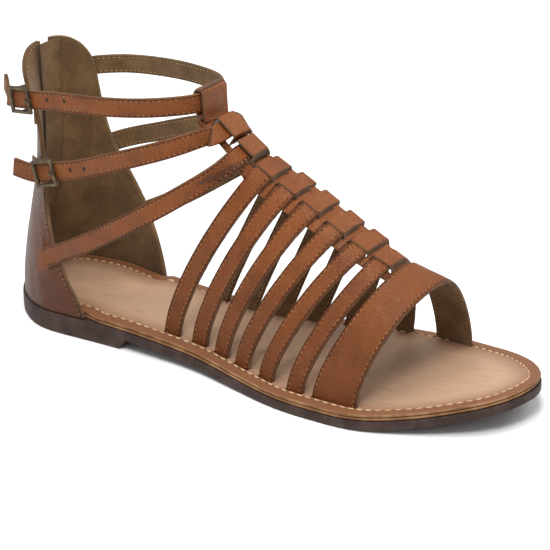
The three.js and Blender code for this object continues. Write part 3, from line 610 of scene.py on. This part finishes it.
@dataclass
class Shell:
    """A merged copy of a CAD node, split into its sides, smoothed and with rounded edges.

    strap_line is the line, in x and z, where the flap ends, and the strap on it starts at strap_end.
    """

    node: str
    cell: float = 1.7
    rounds: int = 10
    edge: float = 0.3
    flat: bool = False
    strap_line: Line = ()
    strap_end: tuple[float, float] = (-8.2, 27.8)
    strap_rise: float = 0.68
    strap_half: float = 5.3
    mesh: bmesh.types.BMesh = field(init=False)
    rows: list[Row] = field(init=False, default_factory=list)

    def build(self) -> "Shell":
        """Runs each step in its order.

        Returns:
            The shell.
        """
        self.mesh = bmesh.new()
        self.mesh.from_mesh(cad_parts[self.node].data)
        bmesh.ops.remove_doubles(self.mesh, verts=self.mesh.verts, dist=WELD)
        bmesh.ops.dissolve_degenerate(self.mesh, edges=self.mesh.edges, dist=WELD)
        self._name_sides()
        self._refine()
        self._smooth()
        self._find_rows()
        self._round_edges()
        return self

    def _side(self, faces: list[bmesh.types.BMFace]) -> Side:
        """Side that a patch of faces is on, by the way that it looks.

        Args:
            faces: Faces that join without a sharp edge.

        Returns:
            The side.
        """
        foot = Foot()
        total = sum(face.calc_area() for face in faces)
        look = 0.0
        for face in faces:
            away = Vector((0, 0, 1)) if self.flat else foot.outward(face.calc_center_median())
            look += face.normal.dot(away) * face.calc_area()
        share = look / max(total, NO_AREA)
        if share > FACING:
            return Side.OUTER
        return Side.LINING if share < -FACING else Side.CUT

    def _name_sides(self) -> None:
        """Splits the faces at sharp edges and gives each patch its side."""
        self.mesh.normal_update()
        for side in self.mesh.edges:
            side.smooth = len(side.link_faces) == 2 and side.calc_face_angle(0) <= SHARP
        seen: set[bmesh.types.BMFace] = set()
        for start in self.mesh.faces:
            if start in seen:
                continue
            patch, queue = [], [start]
            seen.add(start)
            while queue:
                face = queue.pop()
                patch.append(face)
                for side in face.edges:
                    near = [other for other in side.link_faces if side.smooth and other not in seen]
                    seen.update(near)
                    queue += near
            index = self._side(patch).value
            for face in patch:
                face.material_index = index

    def _refine(self, halvings: int = 7) -> None:
        """Halves long edges until none is much longer than a cell, or so many times."""
        for _ in range(halvings):
            long = [side for side in self.mesh.edges if side.calc_length() > self.cell * 1.3 * MM]
            if not long:
                break
            bmesh.ops.subdivide_edges(self.mesh, edges=long, cuts=1)
            wide = [face for face in self.mesh.faces if len(face.verts) > 3]
            bmesh.ops.triangulate(self.mesh, faces=wide)
        self.mesh.normal_update()

    def _smooth(self) -> None:
        """Evens out the facets, keeping corners in place and edges on their own lines."""
        self.mesh.verts.index_update()
        pairs = []
        for point in self.mesh.verts:
            sharp = [side for side in point.link_edges if not side.smooth]
            if sharp and len(sharp) != 2:
                continue
            sides = sharp or point.link_edges
            others = [side.other_vert(point) for side in sides]
            if sharp and self._turn(others[0], point, others[1]) < CORNER:
                continue
            pairs += [(point.index, other.index) for other in others]
        if not pairs:
            return
        first, second = np.array(pairs).T
        places = np.array([point.co for point in self.mesh.verts])
        count = np.bincount(first, minlength=len(places))[:, None]
        moving = count[:, 0] > 0
        for _ in range(self.rounds):
            total = np.zeros_like(places)
            np.add.at(total, first, places[second])
            places[moving] += 0.5 * (total[moving] / count[moving] - places[moving])
        for point, place in zip(self.mesh.verts, places):
            point.co = place
        self.mesh.normal_update()

    @staticmethod
    def _turn(
        first: bmesh.types.BMVert, middle: bmesh.types.BMVert, last: bmesh.types.BMVert, same: float = 0.0,
    ) -> float:
        """Measures the angle at the middle of three points.

        Args:
            first: Point before.
            middle: Point of the angle.
            last: Point after.
            same: Answer where two of them coincide.

        Returns:
            The angle, half a turn where they lie on one line.
        """
        return (first.co - middle.co).angle(last.co - middle.co, same)

    def _edge_face(self, side: bmesh.types.BMEdge) -> bmesh.types.BMFace | None:
        """Finds the face that a seam along an edge lies on.

        Args:
            side: The edge.

        Returns:
            Its outer or lining face where it meets the cut wall, or None.
        """
        if side.smooth or len(side.link_faces) != 2 or not side.is_convex:
            return None
        faces = sorted(side.link_faces, key=lambda face: face.material_index == Side.CUT.value)
        kinds = [face.material_index for face in faces]
        return faces[0] if kinds[0] != Side.CUT.value and kinds[1] == Side.CUT.value else None

    def _find_rows(self) -> None:
        """Chains the edges between a face and its cut wall into rows."""
        chosen = {side: self._edge_face(side) for side in self.mesh.edges}
        chosen = {side: face for side, face in chosen.items() if face}
        links: dict = defaultdict(list)
        for side, face in chosen.items():
            for point in side.verts:
                links[point, face.material_index].append(side)
        left = dict(chosen)
        while left:
            side, face = left.popitem()
            kind = face.material_index
            chain = [side]
            ends = list(side.verts)
            for turn in (0, 1):
                tip, last = ends[turn], side
                while True:
                    near = [other for other in links[tip, kind] if other in left]
                    if len(links[tip, kind]) != 2 or not near:
                        break
                    other = near[0]
                    if self._turn(last.other_vert(tip), tip, other.other_vert(tip), math.pi) < BEND:
                        break
                    left.pop(other)
                    chain = [*chain, other] if turn == 0 else [other, *chain]
                    tip, last = other.other_vert(tip), other
            self.rows.append(self._row(chain, chosen, Side(kind)))

    @staticmethod
    def _row(chain: list[bmesh.types.BMEdge], chosen: dict, side: Side) -> Row:
        """Turns a chain of edges into a row.

        Args:
            chain: Edges in order.
            chosen: Face of each edge on which the row lies.
            side: Side that the row is on.

        Returns:
            The row.
        """
        row = Row([], [], [], side)
        for link in chain:
            face = chosen[link]
            a, b = link.verts
            into = face.normal.cross((b.co - a.co).normalized())
            if into.dot(face.calc_center_median() - a.co) < 0:
                into.negate()
            row.points.append((a.co + b.co) / 2)
            row.inward.append(into.normalized())
            row.normals.append(face.normal.copy())
        return row

    def _round_edges(self) -> None:
        """Rounds every sharp outer edge."""
        sharp = [side for side in self.mesh.edges if not side.smooth and side.is_convex]
        if sharp:
            bmesh.ops.bevel(
                self.mesh, geom=sharp, offset=self.edge * MM, offset_type="OFFSET", segments=2, profile=0.5,
                affect="EDGES", clamp_overlap=False, material=-1,
            )
        wide = [face for face in self.mesh.faces if len(face.verts) > 4]
        bmesh.ops.triangulate(self.mesh, faces=wide)
        self.mesh.normal_update()

    def _on_strap(self, place: Vector) -> bool:
        """Tells whether a place is on the strap that the flap carries.

        Args:
            place: The place, in metres.

        Returns:
            True in front of the flap's line, and on the strap's end that lies on the flap.
        """
        if not self.strap_line:
            return False
        x, y, z = place / MM
        (low_x, low_z), (high_x, high_z) = self.strap_line
        share = (z - low_z) / (high_z - low_z)
        if low_z < z < 0.8 * high_z and x > low_x + (high_x - low_x) * share:
            return True
        start_x, start_z = self.strap_end
        middle = start_z + self.strap_rise * (x - start_x)
        return y < 0 and x > start_x and abs(z - middle) < self.strap_half

    def sink(self, crease: "Crease") -> None:
        """Presses a soft trough into the side of a crease and marks it for painted shade along the crease.

        Args:
            crease: The crease, already laid.
        """
        layer = self.mesh.verts.layers.float.new("crease")
        tree = near_tree(crease.points)
        for point in self.mesh.verts:
            if all(face.material_index != crease.side.value for face in point.link_faces):
                continue
            away = tree.find(point.co)[2]
            share = math.exp(-((away / (crease.width * MM)) ** 2))
            if share > crease.least:
                point.co -= point.normal * share * crease.depth * MM
                point[layer] = share

    def finish(self, name: str, body: str, materials: list[bpy.types.Material], slot: str) -> None:
        """Makes the object that stands for the node.

        Args:
            name: Name of the piece.
            body: Body that it rides on.
            materials: Finish of the outer side, the cut edge and the lining, and last of the strap.
            slot: Material slot of the record; not used.
        """
        layer = self.mesh.verts.layers.float.new("edge_mm")
        marks = [point for row in self.rows if row.length() > SEWN * MM for point in row.points]
        tree = near_tree(marks)
        for point in self.mesh.verts:
            point[layer] = tree.find(point.co)[2] / MM if marks else UNSEWN
        for face in self.mesh.faces:
            face.smooth = True
            if face.material_index == Side.OUTER.value and self._on_strap(face.calc_center_median()):
                face.material_index = len(materials) - 1
        piece = made(self.mesh, name, materials)
        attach(piece, body)
        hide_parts(self.node)


@dataclass
class Crease:
    """A soft trough along a line that is seen through points of the frame."""

    pixels: Line
    width: float
    depth: float
    side: Side
    least: float = 0.01
    spacing: float = 1.5
    points: list[Vector] = field(init=False, default_factory=list)

    def lay(self, studio: Studio, tree: BVHTree) -> "Crease":
        """Finds where the line runs on the piece that carries it.

        Args:
            studio: Studio with the camera that sees the line.
            tree: Surface of the piece.

        Returns:
            The crease, with its points.
        """
        for (x0, y0), (x1, y1) in zip(self.pixels, self.pixels[1:]):
            steps = max(2, int(math.hypot(x1 - x0, y1 - y0) / self.spacing))
            for step in range(steps):
                share = step / steps
                look = studio.ray(x0 + (x1 - x0) * share, y0 + (y1 - y0) * share)
                hit = tree.ray_cast(studio.eye(), look)[0]
                if hit:
                    self.points.append(hit)
        return self


def near_tree(points: list[Vector]) -> KDTree:
    """Search tree of the nearest of some points.

    Args:
        points: The points.

    Returns:
        The tree.
    """
    tree = KDTree(max(1, len(points)))
    for index, point in enumerate(points):
        tree.insert(point, index)
    tree.balance()
    return tree


def made(shape: bmesh.types.BMesh, name: str, materials: list[bpy.types.Material]) -> bpy.types.Object:
    """Turns a bmesh into an object at the origin.

    Args:
        shape: The bmesh, freed at the end.
        name: Name of the object.
        materials: Its materials, in order.

    Returns:
        The object.
    """
    mesh = bpy.data.meshes.new(name)
    shape.to_mesh(mesh)
    shape.free()
    for material in materials:
        mesh.materials.append(material)
    piece = bpy.data.objects.new(name, mesh)
    bpy.context.scene.collection.objects.link(piece)
    LOG.info("%s: %d faces", name, len(mesh.polygons))
    return piece


@dataclass
class Seams:
    """Stitches along the rows of one piece."""

    inset: float = SEAM_IN
    pitch: float = 2.3
    long: float = 1.55
    wide: float = 0.42
    high: float = 0.3
    agree: float = 0.8

    def __post_init__(self) -> None:
        """Makes the bead that every stitch repeats."""
        bead = bmesh.new()
        bmesh.ops.create_uvsphere(bead, u_segments=6, v_segments=4, radius=0.5)
        for face in bead.faces:
            face.smooth = True
        self.bead = bpy.data.meshes.new("bead")
        bead.to_mesh(self.bead)
        bead.free()
        self.points = [point.co.copy() for point in self.bead.vertices]

    def lay(self, shape: bmesh.types.BMesh, rows: list[Row], tree: BVHTree) -> int:
        """Adds the stitches of all rows that are long enough to be sewn to a bmesh.

        Args:
            shape: The bmesh that takes them.
            rows: Rows on one side of the piece.
            tree: Surface that carries the stitches.

        Returns:
            How many stitches were laid.
        """
        count = 0
        for row in rows:
            if row.length() >= SEWN * MM:
                count += self._one(shape, row, tree)
        return count

    def _one(self, shape: bmesh.types.BMesh, row: Row, tree: BVHTree) -> int:
        """Lays one row, at even steps along its edge.

        Args:
            shape: The bmesh that takes the stitches.
            row: The row.
            tree: Surface that carries them.

        Returns:
            How many stitches were laid.
        """
        count, reach, due = 0, 0.0, self.pitch * 0.5 * MM
        for index in range(len(row.points) - 1):
            a, b = row.points[index], row.points[index + 1]
            step = (b - a).length
            while step > 0 and due <= reach + step:
                share = (due - reach) / step
                start = a.lerp(b, share)
                into = row.inward[index].lerp(row.inward[index + 1], share).normalized()
                normal = row.normals[index].lerp(row.normals[index + 1], share).normalized()
                due += self.pitch * MM
                spot, look = tree.find_nearest(start + into * self.inset * MM)[:2]
                clear = (spot - start).length >= 0.55 * self.inset * MM
                if look.dot(normal) >= self.agree and clear:
                    self._stitch(shape, spot, (b - a).normalized(), look)
                    count += 1
            reach += step
        return count

    def _stitch(self, shape: bmesh.types.BMesh, spot: Vector, along: Vector, normal: Vector) -> None:
        """Adds one stitch, a small rounded bead half sunk in the leather.

        Args:
            shape: The bmesh that takes it.
            spot: Its middle.
            along: Direction of the seam.
            normal: Direction out of the leather.
        """
        across = normal.cross(along).normalized()
        along = across.cross(normal)
        turn = Matrix((along, across, normal)).transposed().to_4x4()
        size = Matrix.Diagonal((self.long * MM, self.wide * MM, self.high * MM, 1))
        place = Matrix.Translation(spot) @ turn @ size
        for point, start in zip(self.bead.vertices, self.points):
            point.co = place @ start
        shape.from_mesh(self.bead)


@dataclass
class Leathers:
    """All the finishes of the sandal."""

    strap: bpy.types.Material
    counter: bpy.types.Material
    cut: bpy.types.Material
    lining: bpy.types.Material
    thread: bpy.types.Material
    pale_thread: bpy.types.Material
    cream_thread: bpy.types.Material
    brass: bpy.types.Material
    hole: bpy.types.Material

    @classmethod
    def make(cls) -> "Leathers":
        """Builds every shared finish once.

        Returns:
            The finishes.
        """
        tan = ((0.225, 0.066, 0.0145), (0.07, 0.0155, 0.003), (0.42, 0.165, 0.065))
        brown = ((0.12, 0.038, 0.0155), (0.05, 0.0145, 0.0055), (0.23, 0.095, 0.05))
        return cls(
            strap=GrainLeather("tan_leather", *tan).make(),
            counter=GrainLeather("brown_leather", *brown, 0.36).make(),
            cut=Suede("cut_edge", (0.175, 0.095, 0.045), (0.075, 0.036, 0.016), -1.0).make(),
            lining=Suede("suede_lining", (0.215, 0.125, 0.056), (0.11, 0.06, 0.025)).make(),
            thread=Thread("strap_thread", (0.42, 0.18, 0.055), (0.16, 0.05, 0.013)).make(),
            pale_thread=Thread("lining_thread", (0.5, 0.3, 0.13), (0.28, 0.15, 0.06)).make(),
            cream_thread=Thread("footbed_thread", (0.75, 0.5, 0.28), (0.5, 0.28, 0.13)).make(),
            brass=AgedBrass("aged_brass", (0.3, 0.22, 0.11), (0.045, 0.032, 0.02)).make(),
            # The holes' near-black colour is painted shade for the depth of a hole.
            hole=Suede("punched_hole_painted_shade", (0.03, 0.015, 0.008), (0.012, 0.006, 0.003), -1.0).make(),
        )


@dataclass
class StrapWork:
    """The sewn leather pieces: cage, counter, ankle straps and the stubs of the buckles."""

    leathers: Leathers
    studio: Studio
    nodes: tuple[tuple[str, bool], ...] = (
        ("upper", False),
        ("counter", True),
        ("ankle_strap_upper", False),
        ("ankle_strap_lower", False),
        ("stub_upper", False),
        ("stub_lower", False),
    )
    rounding: float = 0.42
    fold: Line = ((48, 37), (53, 58), (55, 90), (57, 122), (59, 160), (61, 190))
    flap: Line = ((21.5, 14), (-14.5, 100))
    holes: tuple[tuple[str, Line], ...] = (
        ("ankle_strap_upper", ((47, 100), (64, 101))),
        ("ankle_strap_lower", ((70, 170), (84, 169))),
    )
    hole_radius: float = 0.9
    hole_lift: float = 0.1
    hole_rim: float = 0.25
    hole_depth: float = 0.07

    def build(self) -> None:
        """Builds every leather piece with its seams."""
        for node, brown in self.nodes:
            line = self.flap if brown else ()
            shell = Shell(node, edge=self.rounding, strap_line=line).build()
            tree = BVHTree.FromBMesh(shell.mesh)
            if brown:
                shell.sink(Crease(self.fold, 0.7, 0.35, Side.LINING).lay(self.studio, tree))
            outer = self.leathers.counter if brown else self.leathers.strap
            slot = "counter_leather" if brown else "strap_leather"
            finishes = [outer, self.leathers.cut, self.leathers.lining, self.leathers.strap]
            shell.finish(f"{node}_leather", SHOE, finishes, slot)
            self._sew(shell, tree)
            for name, pixels in self.holes:
                if name == node:
                    self._punch(node, pixels, tree)

    def _sew(self, shell: Shell, tree: BVHTree) -> None:
        """Adds the seams of both sides of a piece.

        Args:
            shell: The piece.
            tree: Its surface.
        """
        threads = {Side.OUTER: self.leathers.thread, Side.LINING: self.leathers.pale_thread}
        for side, thread in threads.items():
            shape = bmesh.new()
            rows = [row for row in shell.rows if row.side is side]
            if not Seams().lay(shape, rows, tree):
                shape.free()
                continue
            piece = made(shape, f"{shell.node}_{side.name.lower()}_stitches", [thread])
            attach(piece, SHOE)

    def _punch(self, node: str, pixels: Line, tree: BVHTree) -> None:
        """Adds the punched holes of a strap as shallow cups with a rim, laid on the leather, made dark with
        painted shade.

        Args:
            node: The strap's node.
            pixels: Where the camera sees the holes.
            tree: Surface of the strap.
        """
        shape = bmesh.new()
        radius = self.hole_radius * MM
        for x, y in pixels:
            spot, look = tree.ray_cast(self.studio.eye(), self.studio.ray(x, y))[:2]
            if spot is None:
                continue
            turn = look.to_track_quat("Z", "Y").to_matrix().to_4x4()
            place = Matrix.Translation(spot + look * self.hole_lift * MM) @ turn
            ring = bmesh.ops.create_circle(shape, cap_ends=True, segments=20, radius=radius, matrix=place)
            face = next(iter(ring["verts"][0].link_faces))
            bmesh.ops.inset_region(shape, faces=[face], thickness=self.hole_rim * MM)
            bmesh.ops.translate(shape, verts=list(face.verts), vec=-look * self.hole_depth * MM)
        piece = made(shape, f"{node}_holes", [self.leathers.hole])
        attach(piece, SHOE)


@dataclass
class Sole:
    """Outsole, midsole strip and insole with its stitch line."""

    leathers: Leathers
    line: float = 4.6

    def build(self) -> None:
        """Builds the three layers and the footbed's seam."""
        rubber = Layer("sole_rubber", (0.068, 0.043, 0.036), (0.038, 0.023, 0.019), 0.62, 900).make()
        strip = Layer("sole_strip", (0.36, 0.19, 0.09), (0.2, 0.09, 0.037), 0.5, 1600).make()
        tones = ((0.465, 0.29, 0.185), (0.17, 0.062, 0.024), (0.2, 0.08, 0.033))
        bed = Footbed("footbed", *tones, self.line).make()
        outsole = Shell("outsole", cell=4, rounds=4, edge=0.5, flat=True).build()
        outsole.finish("outsole_rubber_unit", SHOE, [rubber] * 3, "outsole_rubber")
        midsole = Shell("midsole", cell=4, rounds=4, edge=0.25, flat=True).build()
        midsole.finish("midsole_leather", SHOE, [strip] * 3, "midsole_strip")
        insole = Shell("insole", cell=2.2, rounds=4, edge=0.35, flat=True).build()
        tree = BVHTree.FromBMesh(insole.mesh)
        tops = [row for row in insole.rows if row.side is Side.OUTER]
        outline = max(tops, key=Row.length)
        insole.rows = [outline]
        insole.finish("insole_footbed", SHOE, [bed, strip, self.leathers.lining], "insole_leather")
        shape = bmesh.new()
        seam = Seams(inset=self.line, pitch=4.1, long=3.1, wide=0.8, high=0.6)
        seam.lay(shape, [outline], tree)
        piece = made(shape, "insole_stitches", [self.leathers.cream_thread])
        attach(piece, SHOE)


@dataclass
class Hardware:
    """Buckles, prongs and the zip with its slider and pull."""

    leathers: Leathers
    pieces: tuple[tuple[str, str], ...] = (
        ("buckle_upper", SHOE),
        ("buckle_lower", SHOE),
        ("prong_upper", SHOE),
        ("prong_lower", SHOE),
        ("zip_slider", SHOE),
        ("zip_pull", PULL),
    )
    drawn: float = 12
    rise: float = 7.2
    tooth: tuple[float, float, float] = (2.4, 0.8, 0.7)
    tooth_edge: float = 0.12
    tooth_shift: float = 0.45
    tooth_pitch: float = 1.35
    first_tooth: float = 5
    last_tooth: float = 4
    stand_off: float = 30

    def build(self) -> None:
        """Builds the metal pieces, then the zip's tape and teeth."""
        for node, body in self.pieces:
            shell = Shell(node, cell=1.2, rounds=2).build()
            shell.finish(f"{node}_metal", body, [self.leathers.brass] * 3, "antique_brass")
        tape = Webbing("zip_webbing", (0.13, 0.07, 0.04), (0.05, 0.026, 0.014)).make()
        shell = Shell("zip_tape", cell=2.0, rounds=3, edge=0.15).build()
        low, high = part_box("zip_tape")
        self._lift(shell.mesh, high.z)
        tree = BVHTree.FromBMesh(shell.mesh)
        shell.finish("zip_tape_webbing", SHOE, [tape, tape, self.leathers.lining], "zip_tape")
        self._teeth(tree, low, high)

    def _lift(self, shape: bmesh.types.BMesh, top: float) -> None:
        """Draws the upper end of the tape up to the counter's top, along its own slope.

        Args:
            shape: The tape.
            top: Height of its upper end.
        """
        reach, rise = self.drawn * MM, self.rise * MM
        lean = [point.co for point in shape.verts if point.co.z > top - reach]
        upper = [place.x for place in lean if place.z > top - reach / 4]
        lower = [place.x for place in lean if place.z < top - 3 * reach / 4]
        slope = (sum(upper) / len(upper) - sum(lower) / len(lower)) / (0.75 * reach)
        for place in lean:
            share = (place.z - top + reach) / reach
            place.z += rise * share
            place.x += rise * share * slope

    def _teeth(self, tree: BVHTree, low: Vector, high: Vector) -> None:
        """Adds the zip's teeth along its chain, left and right in turn.

        Args:
            tree: Surface of the tape and its chain.
            low: Lowest corner of the tape's box.
            high: Highest corner of the tape's box.
        """
        shape = bmesh.new()
        middle = (low.y + high.y) / 2
        across = Vector((0, 1, 0))
        size = Matrix.Diagonal((*(side * MM for side in self.tooth), 1))
        height, hand = low.z + self.first_tooth * MM, -1
        while height < high.z - self.last_tooth * MM:
            behind = Vector((low.x - self.stand_off * MM, middle, height))
            spot, look = tree.ray_cast(behind, Vector((1, 0, 0)))[:2]
            if spot is not None:
                up = look.cross(across).normalized()
                basis = Matrix((up.cross(look), up, look)).transposed().to_4x4()
                place = Matrix.Translation(spot + across * hand * self.tooth_shift * MM) @ basis
                block = bmesh.ops.create_cube(shape, size=1, matrix=place @ size)
                sides = list(dict.fromkeys(side for point in block["verts"] for side in point.link_edges))
                bmesh.ops.bevel(
                    shape, geom=sides, offset=self.tooth_edge * MM, segments=1, profile=0.5,
                    affect="EDGES", material=-1,
                )
            height += self.tooth_pitch * MM
            hand = -hand
        piece = made(shape, "zip_teeth", [self.leathers.brass])
        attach(piece, SHOE)


def main() -> None:
    """Builds the scene."""
    logging.basicConfig(level=logging.INFO, format="%(name)s %(message)s")
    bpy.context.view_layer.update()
    studio = Studio()
    studio.build()
    leathers = Leathers.make()
    StrapWork(leathers, studio).build()
    Sole(leathers).build()
    Hardware(leathers).build()


if __name__ == "__main__":
    main()
